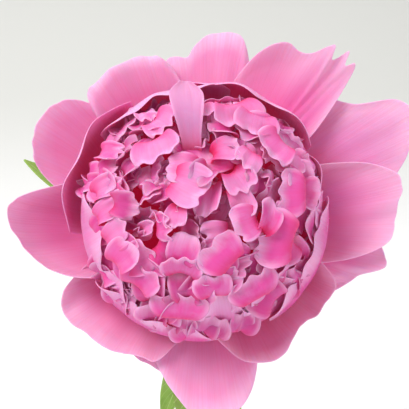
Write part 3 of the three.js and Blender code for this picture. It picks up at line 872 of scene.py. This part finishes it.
def green_material(name, flesh, vein, vein_pairs, roughness):
    """Leaf tissue: a waxy skin with a pale midrib and side veins that lean towards the tip."""
    material, nodes, shader = new_material(name)
    across, along = nodes.petal_uv()
    sideways = nodes.math("ABSOLUTE", nodes.math("SUBTRACT", across, 0.5))
    midrib = nodes.ramp(sideways, 0.012, 0.035, 1.0, 0.0)
    slant = nodes.math("SUBTRACT", along, nodes.math("MULTIPLY", sideways, 0.55))
    comb = nodes.math("ABSOLUTE", nodes.math("SINE", nodes.math("MULTIPLY", slant, vein_pairs * math.pi)))
    side_veins = nodes.ramp(comb, 0.06, 0.2, 0.7, 0.0)
    ribs = nodes.math("MAXIMUM", midrib, side_veins)
    mottle = nodes.noise(nodes.add("ShaderNodeTexCoord").outputs["Object"], 140.0)
    darker = rgba([0.55 * c for c in flesh])
    shaded = nodes.mix(nodes.ramp(mottle, 0.35, 0.7, 0.0, 0.45), rgba(flesh), darker)
    height = nodes.math("SUBTRACT", nodes.math("MULTIPLY", mottle, 0.3), ribs)
    nodes.feed(shader, {
        "Base Color": nodes.mix(ribs, shaded, rgba(vein)),
        "Roughness": nodes.ramp(mottle, 0.3, 0.7, roughness, roughness + 0.15),
        "Normal": nodes.bump(height, 0.4, 0.0004),
        "Subsurface Weight": 0.15,
        "Subsurface Radius": (0.4, 1.0, 0.2),
        "Subsurface Scale": 0.002,
    })
    return material


SEPAL_TURN = 12.0
SEPAL_ROOT = ROOT_RADIUS - 4.0
SEPAL_REACH = 35.0
SEPAL_GRID = (10, 12)


class PEONY_OT_sepals(bpy.types.Operator):
    """Builds the five green lobes under the guard petals"""

    bl_idname = "peony.sepals"
    bl_label = "Sepals"

    def execute(self, context):
        sizes = context.scene.peony_sizes
        colours = context.scene.peony_colours
        paler = [1.25 * c for c in colours.leaf]
        material = green_material("sepal_tissue", paler, colours.leaf_vein, vein_pairs=6.0, roughness=0.45)
        names = sorted(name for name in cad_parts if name.startswith("sepal_"))
        for i, name in enumerate(names):
            middle = math.radians(SEPAL_TURN + i * 360.0 / len(names))

            def surface(u, v):
                reach = SEPAL_REACH - 6.0 * (i % 3)
                radius = lerp(SEPAL_ROOT, reach, u * (1.0 - 0.12 * v * v * u))
                half = 10.5 * math.sin(math.pi * min(0.97, 0.2 + 0.8 * u)) ** 0.8 + 0.4
                turn = middle + half * v / max(radius, 12.0)
                height = guard_height(radius, turn, 3, sizes) - 0.4
                height += 1.2 * v * v * u - 2.5 * smooth(0.6, 1.0, u)
                return Vector((radius * math.cos(turn), radius * math.sin(turn), height))

            add_bloom_piece(name, surface, SEPAL_GRID, material, 1.6 * sizes.petal_thickness)
        return {"FINISHED"}


STEM_BANDS = 8
STEM_TOP = -26.0
STEM_FOOT_CLEARANCE = 0.0007
STEM_SIDES = 20
STEM_STEPS = 90
# The receptacle, along the bloom's axis: how high each place is, in millimetres, and how many times as wide
# as the stem.
RECEPTACLE = [
    (-22.0, 1.0), (-17.0, 1.35), (-14.0, 2.1), (-11.0, 2.85), (-6.0, 3.0),
    (0.0, 2.9), (5.0, 2.3), (8.0, 1.2), (9.0, 0.3),
]


def stem_centres():
    """The stem's middle line, from its foot to just under the receptacle, read from bands of its solid."""
    verts = [vert.co.copy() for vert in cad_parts["stem"].data.vertices]
    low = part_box("stem")[0]
    top = (bloom_matrix() @ Vector((0.0, 0.0, STEM_TOP))).z
    centres = []
    for band in range(STEM_BANDS):
        bottom = lerp(low.z, top, band / STEM_BANDS)
        ceiling = lerp(low.z, top, (band + 1) / STEM_BANDS)
        inside = [co for co in verts if bottom <= co.z <= ceiling]
        if inside:
            centres.append(sum(inside, Vector()) / len(inside))
    return [Vector((0.0, centre.y, centre.z)) for centre in centres]


def along_points(points):
    """A smooth path through points, as a function of a share from 0 to 1."""
    def path(share):
        place = min(max(share, 0.0), 1.0) * (len(points) - 1)
        i = min(int(place), len(points) - 2)
        t = place - i
        before = points[max(i - 1, 0)]
        after = points[min(i + 2, len(points) - 1)]
        a, b = points[i], points[i + 1]
        return 0.5 * (2 * a + (b - before) * t + (2 * before - 5 * a + 4 * b - after) * t**2
                      + (3 * a - before - 3 * b + after) * t**3)

    return path


class PEONY_OT_stem(bpy.types.Operator):
    """Builds the stem, which stands in the vase, leans on its neck and swells under the bloom"""

    bl_idname = "peony.stem"
    bl_label = "Stem"

    def execute(self, context):
        sizes = context.scene.peony_sizes
        colours = context.scene.peony_colours
        matrix = bloom_matrix()
        centres = stem_centres()
        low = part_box("stem")[0].z
        downwards = (centres[0] - centres[1]).normalized()
        foot = centres[0] + downwards * (centres[0].z - low - STEM_FOOT_CLEARANCE)
        points = [foot] + centres + [matrix @ Vector((0.0, 0.0, height)) for height, _ in RECEPTACLE]
        widths = [1.0] * (1 + len(centres)) + [width for _, width in RECEPTACLE]
        path = along_points(points)

        def radius(share):
            place = share * (len(widths) - 1)
            i = min(int(place), len(widths) - 2)
            wide = lerp(widths[i], widths[i + 1], smooth(0.0, 1.0, place - i))
            return sizes.stem_radius * wide * (1.0 + 0.03 * math.sin(40.0 * share))

        bm = new_bmesh()
        add_tube(bm, path, radius, STEM_SIDES, STEM_STEPS)
        paler = [1.3 * c for c in colours.stem]
        material = green_material("stem_skin", colours.stem, paler, vein_pairs=1.0, roughness=0.42)
        finish_piece(bm, "stem_skin", material, ["stem"])
        return {"FINISHED"}


# Leaves: the heading of each in degrees, the length and rise of its stalk and the length of its leaflets in
# millimetres, how widely they fork, and how far the end of each droops.
LEAVES = {
    "leaf_upper": dict(heading=178, stalk=33, rise=41, leaflet=45, spread=1.0, droops=[-12, -25, 12]),
    "leaf_lower": dict(heading=268, stalk=22, rise=1, leaflet=38, spread=0.65, droops=[24, 22, 24]),
}
# Leaflets: where each leaves the stalk, its turn away from it in degrees and its share of full size.
LEAFLETS = [(0.7, -58, 0.72), (0.97, 0, 1.0), (0.8, 58, 0.76)]
LEAFLET_WIDTH = 25.0
LEAFLET_GRID = (14, 26)
STALK_RADIUS = 1.2
STALK_SIDES = 10
STALK_STEPS = 14
STALK_CORNERS = 8
# How far a stalk's foot lies in the stem, where 0 is the end of the solid one and 1 the stem's middle line.
STALK_SEAT = 0.55


def arched(start, heading, length_mm, rise, droop):
    """A curve that leaves start along a heading, gains rise and falls by droop at its end."""
    turn = math.radians(heading)
    outwards = Vector((math.cos(turn), math.sin(turn), 0.0))
    middle = start + (outwards * 0.5 * length_mm + Vector((0, 0, rise))) * MM
    end = start + (outwards * length_mm + Vector((0, 0, rise - droop))) * MM

    def path(share):
        return start * (1 - share) ** 2 + middle * (2 * share * (1 - share)) + end * share**2

    return path


def leaflet_surface(path, width, seed):
    """A leaflet along path, folded along its midrib and quilted between its side veins."""
    def surface(u, v):
        forward = path(min(u + 0.01, 1.0)) - path(max(u - 0.01, 0.0))
        side = forward.cross(Vector((0, 0, 1))).normalized()
        up = side.cross(forward).normalized()
        half = 0.5 * width * max(0.03, math.sin(math.pi * min(u, 0.999) ** 0.8) ** 0.85)
        half *= 1.0 + 0.06 * noise.noise(Vector((seed, 5.0 * u, v)))
        side_veins = 0.25 * abs(math.sin(7.0 * math.pi * (u - 0.25 * abs(v))))
        fold = 0.30 * half * abs(v) ** 1.2 - 0.5 * side_veins * abs(v) * (1 - abs(v)) * 2.0
        wave = 0.7 * v * v * math.sin(9.0 * u + seed)
        return path(u) + (side * half * v + up * (fold + wave)) * MM

    return surface


class PEONY_OT_leaves(bpy.types.Operator):
    """Builds the compound leaves, each a stalk with three leaflets"""

    bl_idname = "peony.leaves"
    bl_label = "Leaves"

    def execute(self, context):
        sizes = context.scene.peony_sizes
        colours = context.scene.peony_colours
        material = green_material(
            "leaf_tissue", colours.leaf, colours.leaf_vein, vein_pairs=9.0, roughness=0.35
        )
        middle_line = along_points(stem_centres())
        line = [middle_line(i / 60) for i in range(61)]

        def stalk_radius(share):
            return STALK_RADIUS * MM * lerp(1.15, 0.8, share)

        for name, spec in LEAVES.items():
            corners = [vert.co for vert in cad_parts[name].data.vertices]
            near = sorted(corners, key=lambda co: min((co - at).length for at in line))[:STALK_CORNERS]
            edge = sum(near, Vector()) / len(near)
            root = edge.lerp(min(line, key=lambda at: (edge - at).length), STALK_SEAT)
            stalk = arched(root, spec["heading"], spec["stalk"], spec["rise"], 0)
            bm = new_bmesh()
            add_tube(bm, stalk, stalk_radius, STALK_SIDES, STALK_STEPS)
            finish_piece(bm, f"{name}_stalk", material, [])
            bm = new_bmesh()
            for i, (fork, turn, share) in enumerate(LEAFLETS):
                size = share * spec["leaflet"]
                rise = 0.1 * size if spec["droops"][i] > 0 else 0.0
                heading = spec["heading"] + spec["spread"] * turn
                rib = arched(stalk(fork), heading, size, rise, spec["droops"][i])
                add_sheet(bm, leaflet_surface(rib, share * LEAFLET_WIDTH, 3.0 * i), *LEAFLET_GRID)
            finish_piece(bm, f"{name}_blades", material, [name], 1.3 * sizes.petal_thickness)
        return {"FINISHED"}


# ---- vase

FOOT_RADIUS = 30.0
BELLY_RADIUS = 37.0
NECK_RADIUS = 15.0
LIP_RADIUS = 27.0
BELLY_AT = 46.0
NECK_AT = 106.0
FOOT_MIDDLE_RADIUS = 24.0
VASE_WALL = 4.0
VASE_FLOOR = 8.0
FOOT_BEVEL = 1.2
LIP_ROUND = 1.4
LIP_SHARES = (0.12, 0.3, 0.5, 0.7, 0.88)
WALL_STEPS = 12
TURNING_STEPS = 96
POOLED_GLAZE = (0.80, 0.82, 0.80, 1.0)
SPECKS = (0.45, 0.40, 0.34, 1.0)
BISQUE_ROUGHNESS = 0.8


def bezier(a, b, c, d, share):
    left = 1.0 - share
    return a * left**3 + 3 * b * left**2 * share + 3 * c * left * share**2 + d * share**3


def wall_line(inset, bottom):
    """The vase's wall from foot to lip, moved inwards by inset, as (radius, height) in millimetres."""
    foot, belly = FOOT_RADIUS - inset, BELLY_RADIUS - inset
    neck, lip = NECK_RADIUS - inset, LIP_RADIUS - inset
    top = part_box("vase")[1].z / MM - LIP_ROUND
    shoulder = NECK_AT - BELLY_AT
    flare = top - NECK_AT
    spans = [
        (
            (foot, bottom), (lerp(foot, belly, 0.6), lerp(bottom, BELLY_AT, 0.2)),
            (belly, lerp(bottom, BELLY_AT, 0.6)), (belly, BELLY_AT),
        ),
        (
            (belly, BELLY_AT), (belly, BELLY_AT + 0.5 * shoulder),
            (neck, NECK_AT - 0.45 * shoulder), (neck, NECK_AT),
        ),
        (
            (neck, NECK_AT), (neck, NECK_AT + 0.5 * flare),
            (lerp(neck, lip, 0.6), top - 0.25 * flare), (lip, top),
        ),
    ]
    points = [Vector(spans[0][0])]
    for span in spans:
        corners = [Vector(point) for point in span]
        points += [bezier(*corners, step / WALL_STEPS) for step in range(1, WALL_STEPS + 1)]
    return points


def glaze_material():
    """A white glaze that thins at the lip and stops at a bare foot."""
    colours = bpy.context.scene.peony_colours
    material, nodes, shader = new_material("vase_glaze")
    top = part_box("vase")[1].z
    coordinates = nodes.add("ShaderNodeTexCoord").outputs["Object"]
    height = nodes.add("ShaderNodeSeparateXYZ", {0: coordinates}).outputs[2]
    pooling = nodes.noise(coordinates, 28.0, 2.0)
    specks = nodes.ramp(nodes.noise(coordinates, 900.0, 1.0), 0.72, 0.80)
    wavering = nodes.math("ADD", height, nodes.math("MULTIPLY", pooling, 0.0012))
    bare = nodes.ramp(wavering, 0.0014, 0.0022, 1.0, 0.0)
    lip = nodes.ramp(wavering, top - 0.0015, top + 0.0005)
    body = nodes.mix(nodes.ramp(pooling, 0.35, 0.7, 0.0, 0.35), rgba(colours.glaze), POOLED_GLAZE)
    thin = nodes.mix(nodes.math("MULTIPLY", lip, 0.35), body, rgba(colours.bisque))
    speckled = nodes.mix(nodes.math("MULTIPLY", specks, 0.35), thin, SPECKS)
    glossy = nodes.ramp(pooling, 0.3, 0.7, 0.10, 0.22)
    nodes.feed(shader, {
        "Base Color": nodes.mix(bare, speckled, rgba(colours.bisque)),
        "Roughness": nodes.add("ShaderNodeMix", {0: bare, 2: glossy, 3: BISQUE_ROUGHNESS}).outputs[0],
        "Normal": nodes.bump(pooling, 0.25, 0.002),
    })
    return material


class PEONY_OT_vase(bpy.types.Operator):
    """Builds the glazed bud vase by turning its outline round its axis"""

    bl_idname = "peony.vase"
    bl_label = "Vase"

    def execute(self, context):
        outside = wall_line(0.0, 0.0)
        outside[0] = Vector((FOOT_RADIUS - FOOT_BEVEL, 0.0))
        outside.insert(1, Vector((FOOT_RADIUS - 0.3 * FOOT_BEVEL, 0.3 * FOOT_BEVEL)))
        inside = wall_line(VASE_WALL, VASE_FLOOR)
        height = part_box("vase")[1].z / MM
        crest = []
        for share in LIP_SHARES:
            above = LIP_ROUND * math.sin(share * math.pi)
            crest.append(Vector((LIP_RADIUS - share * VASE_WALL, height - LIP_ROUND + above)))
        underside = [Vector((0, 0)), Vector((FOOT_MIDDLE_RADIUS, 0.0))]
        outline = underside + outside + crest + inside[::-1] + [Vector((0, VASE_FLOOR))]
        bm = new_bmesh()
        verts = [bm.verts.new((point.x * MM, 0.0, point.y * MM)) for point in outline]
        edges = [bm.edges.new(pair) for pair in zip(verts, verts[1:])]
        bmesh.ops.spin(
            bm, geom=verts + edges, cent=(0, 0, 0), axis=(0, 0, 1), dvec=(0, 0, 0),
            angle=2.0 * math.pi, steps=TURNING_STEPS, use_merge=True,
        )
        bmesh.ops.remove_doubles(bm, verts=bm.verts, dist=1e-6)
        bmesh.ops.recalc_face_normals(bm, faces=bm.faces)
        finish_piece(bm, "vase_glazed", glaze_material(), ["vase"])
        return {"FINISHED"}


# ---- stage

# Lights: where each is from the ball's middle, its width, its power and its tint.
LIGHTS = {
    "key": ((-0.62, -0.35, 1.10), 0.8, 12.5, (1.0, 0.99, 0.97)),
    "fill": ((0.9, -0.8, 0.45), 1.2, 3.0, (0.98, 0.98, 1.0)),
    "back": ((-0.2, 0.8, 0.7), 0.9, 5.0, (1.0, 1.0, 1.0)),
}
WORLD_COLOUR = (0.95, 0.96, 0.98, 1.0)
WORLD_STRENGTH = 0.55
FLOOR_FRONT = -2.0
FLOOR_BACK = 4.0
FLOOR_HALF_WIDTH = 3.0
FLOOR_BEND_AT = 1.2
FLOOR_BEND = 0.8
FLOOR_GRID = (8, 60)
# The floor goes from its near colour to its far one between these places: painted light, bright around the
# vase and greyer far behind it.
FLOOR_PAINTED_FALLOFF = (0.16, 0.52)
SENSOR_WIDTH = 36.0
# The camera aims this far right of and above the ball's middle.
AIM_RIGHT = 0.0008
AIM_UP = 0.0030


def add_light(name, place, aim, size, power, tint):
    data = bpy.data.lights.new(name, "AREA")
    data.shape = "DISK"
    data.size = size
    data.energy = power
    data.color = tint
    light = bpy.data.objects.new(name, data)
    light.location = place
    light.rotation_euler = (aim - place).to_track_quat("-Z", "Y").to_euler()
    bpy.context.scene.collection.objects.link(light)


def floor_surface(u, v):
    """A pale floor that curves up into a wall well behind the object."""
    gone = lerp(FLOOR_FRONT, FLOOR_BACK, u)
    bend = min(max((gone - FLOOR_BEND_AT) / FLOOR_BEND, 0.0), 0.5 * math.pi)
    past = max(0.0, gone - FLOOR_BEND_AT - FLOOR_BEND * 0.5 * math.pi)
    back = min(gone, FLOOR_BEND_AT) + FLOOR_BEND * math.sin(bend)
    return Vector((FLOOR_HALF_WIDTH * v, back, FLOOR_BEND * (1.0 - math.cos(bend)) + past))


class PEONY_OT_stage(bpy.types.Operator):
    """Builds the floor, the lights and the camera"""

    bl_idname = "peony.stage"
    bl_label = "Stage"

    def execute(self, context):
        stage = context.scene.peony_stage
        sizes = context.scene.peony_sizes
        middle = bloom_matrix() @ Vector((0.0, 0.0, sizes.ball_rise / MM))
        self.make_floor(stage)
        self.make_camera(stage, middle)
        for name, (offset, size, power, tint) in LIGHTS.items():
            add_light(name, middle + Vector(offset), middle, size, power, tint)
        world = bpy.data.worlds.new("studio")
        world.use_nodes = True
        background = world.node_tree.nodes["Background"]
        background.inputs["Color"].default_value = WORLD_COLOUR
        background.inputs["Strength"].default_value = WORLD_STRENGTH
        context.scene.world = world
        context.scene.view_settings.view_transform = "Standard"
        return {"FINISHED"}

    def make_floor(self, stage):
        bm = new_bmesh()
        add_sheet(bm, floor_surface, *FLOOR_GRID)
        mesh = bpy.data.meshes.new("floor")
        bm.to_mesh(mesh)
        bm.free()
        mesh.shade_smooth()
        material, nodes, shader = new_material("floor")
        coordinates = nodes.add("ShaderNodeTexCoord").outputs["Object"]
        grain = nodes.noise(coordinates, 60.0)
        distance = nodes.add("ShaderNodeSeparateXYZ", {0: coordinates}).outputs[1]
        # Painted light: brighter near the vase, greyer far behind it.
        far = nodes.mix(nodes.ramp(distance, *FLOOR_PAINTED_FALLOFF), rgba(stage.floor_near_lit), rgba(stage.floor))
        tint = nodes.mix(nodes.ramp(grain, 0.3, 0.7, 0.0, 0.03), far, rgba(stage.floor))
        nodes.feed(shader, {"Base Color": tint, "Roughness": 0.9})
        mesh.materials.append(material)
        floor = bpy.data.objects.new("floor", mesh)
        bpy.context.scene.collection.objects.link(floor)

    def make_camera(self, stage, middle):
        data = bpy.data.cameras.new("camera")
        data.sensor_width = SENSOR_WIDTH
        data.lens = SENSOR_WIDTH * stage.distance / stage.width
        data.clip_start = 0.01
        camera = bpy.data.objects.new("camera", data)
        back = Vector((0.0, -math.cos(stage.elevation), math.sin(stage.elevation)))
        up = Vector((0.0, math.sin(stage.elevation), math.cos(stage.elevation)))
        aim = middle + AIM_UP * up + Vector((AIM_RIGHT, 0.0, 0.0))
        camera.location = aim + back * stage.distance
        camera.rotation_euler = (-back).to_track_quat("-Z", "Y").to_euler()
        bpy.context.scene.collection.objects.link(camera)
        bpy.context.scene.camera = camera


# ---- panel and registration

OPERATORS = [
    PEONY_OT_vase,
    PEONY_OT_stem,
    PEONY_OT_leaves,
    PEONY_OT_sepals,
    PEONY_OT_guard_petals,
    PEONY_OT_collar_petals,
    PEONY_OT_inner_petals,
    PEONY_OT_stage,
]


class PEONY_PT_panel(bpy.types.Panel):
    """Lists the peony's sizes, colours and building steps"""

    bl_label = "Peony in a bud vase"
    bl_idname = "PEONY_PT_panel"
    bl_space_type = "VIEW_3D"
    bl_region_type = "UI"
    bl_category = "Peony"

    def draw(self, context):
        scene = context.scene
        for group in (scene.peony_sizes, scene.peony_colours, scene.peony_stage):
            box = self.layout.box()
            for key in group.__annotations__:
                box.prop(group, key)
        for operator in OPERATORS:
            self.layout.operator(operator.bl_idname)


CLASSES = [PeonySizes, PeonyColours, PeonyStage, *OPERATORS, PEONY_PT_panel]


def register():
    for item in CLASSES:
        bpy.utils.register_class(item)
    bpy.types.Scene.peony_sizes = bpy.props.PointerProperty(type=PeonySizes)
    bpy.types.Scene.peony_colours = bpy.props.PointerProperty(type=PeonyColours)
    bpy.types.Scene.peony_stage = bpy.props.PointerProperty(type=PeonyStage)


def unregister():
    del bpy.types.Scene.peony_stage
    del bpy.types.Scene.peony_colours
    del bpy.types.Scene.peony_sizes
    for item in reversed(CLASSES):
        bpy.utils.unregister_class(item)


def main():
    register()
    bpy.ops.peony.vase()
    bpy.ops.peony.stem()
    bpy.ops.peony.leaves()
    bpy.ops.peony.sepals()
    bpy.ops.peony.guard_petals()
    bpy.ops.peony.collar_petals()
    bpy.ops.peony.inner_petals()
    bpy.ops.peony.stage()


if __name__ == "__main__":
    main()
